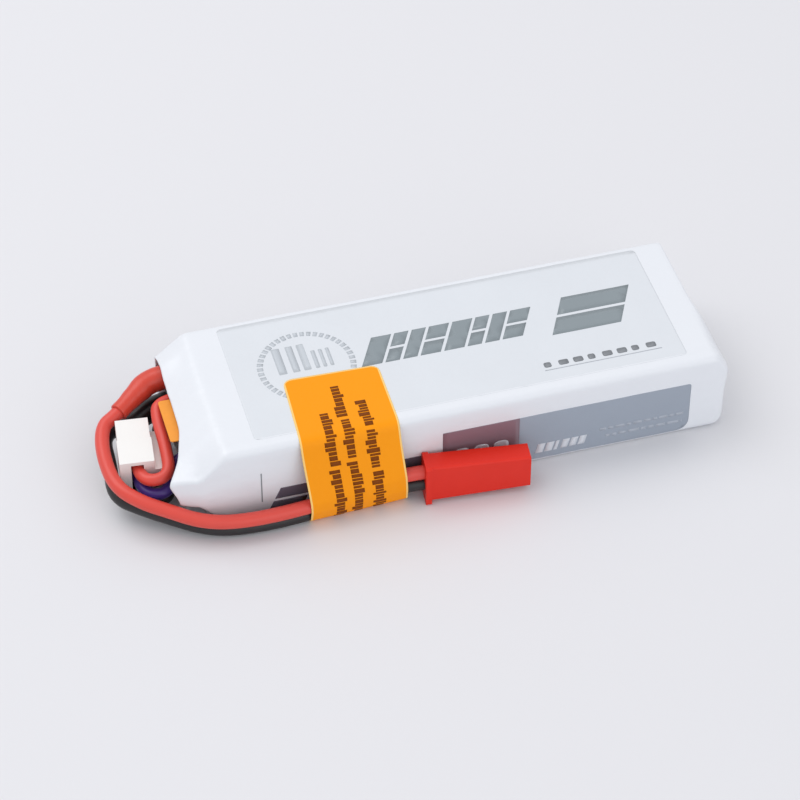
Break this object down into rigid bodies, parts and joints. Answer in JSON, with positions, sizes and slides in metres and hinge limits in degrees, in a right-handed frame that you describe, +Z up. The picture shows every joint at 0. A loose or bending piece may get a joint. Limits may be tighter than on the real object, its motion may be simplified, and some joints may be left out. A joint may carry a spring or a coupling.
{
  "type": "lithium polymer battery pack",
  "caption": "Lithium polymer battery pack in printed shrink wrap, its main leads laid along one side under a seal label to a red plug, with a balance plug at the lead end.",
  "frame": {"origin": "centre of the wrapped body's underside, midway between the lead-end ridge and the closed-end ridge", "axes": "+X along the pack towards its closed end, -Y the side along which the main leads and plug lie, +Z up from the underside"},
  "size_m": [0.1049, 0.037, 0.0161],
  "materials": {
    "wrap_film": "white printed heat-shrink film, satin",
    "cell_foil": "laminated pouch foil, satin",
    "electrode_stack": "coated foil stack, matte",
    "tab_aluminium": "bare aluminium strip",
    "tab_nickel": "bare nickel strip",
    "tab_sealant": "heat-seal polymer strip",
    "bonding_tape": "double-sided tissue tape",
    "binding_tape": "amber polyimide tape",
    "end_card": "dark vulcanised fibre card",
    "terminal_card": "orange insulating paper",
    "solder": "tin solder",
    "copper_strand": "tinned copper strand",
    "silicone_red": "red silicone rubber, satin",
    "silicone_black": "black silicone rubber, satin",
    "silicone_violet": "blue-violet silicone rubber, satin",
    "sleeve_red": "red heat-shrink sleeve, satin",
    "sleeve_black": "black heat-shrink sleeve, satin",
    "plug_red": "red moulded nylon",
    "plug_white": "natural white moulded nylon",
    "contact_metal": "tin-plated bronze",
    "label_orange": "orange printed adhesive label"
  },
  "bodies": {
    "root": {"shrink_wrap": "wrap_film", "lower_cell_pouch": "cell_foil", "upper_cell_pouch": "cell_foil", "lower_cell_electrode_stack": "electrode_stack", "upper_cell_electrode_stack": "electrode_stack", "lower_cell_positive_tab": "tab_aluminium", "upper_cell_positive_tab": "tab_aluminium", "lower_cell_negative_tab": "tab_nickel", "upper_cell_negative_tab": "tab_nickel", "tab_sealant_strips": "tab_sealant", "cell_bonding_tape": "bonding_tape", "cell_binding_tape": "binding_tape", "closed_end_card": "end_card", "terminal_insulation_card": "terminal_card", "solder_joints": "solder", "main_lead_conductors": "copper_strand", "balance_lead_conductors": "copper_strand", "positive_main_lead": "silicone_red", "negative_main_lead": "silicone_black", "positive_lead_sleeve": "sleeve_red", "negative_lead_sleeve": "sleeve_black", "main_plug_housing": "plug_red", "main_plug_contacts": "contact_metal", "balance_lead_positive": "silicone_red", "balance_lead_middle": "silicone_violet", "balance_lead_negative": "silicone_black", "balance_plug_housing": "plug_white", "balance_plug_contacts": "contact_metal", "seal_label": "label_orange"}
  },
  "joints": []
}
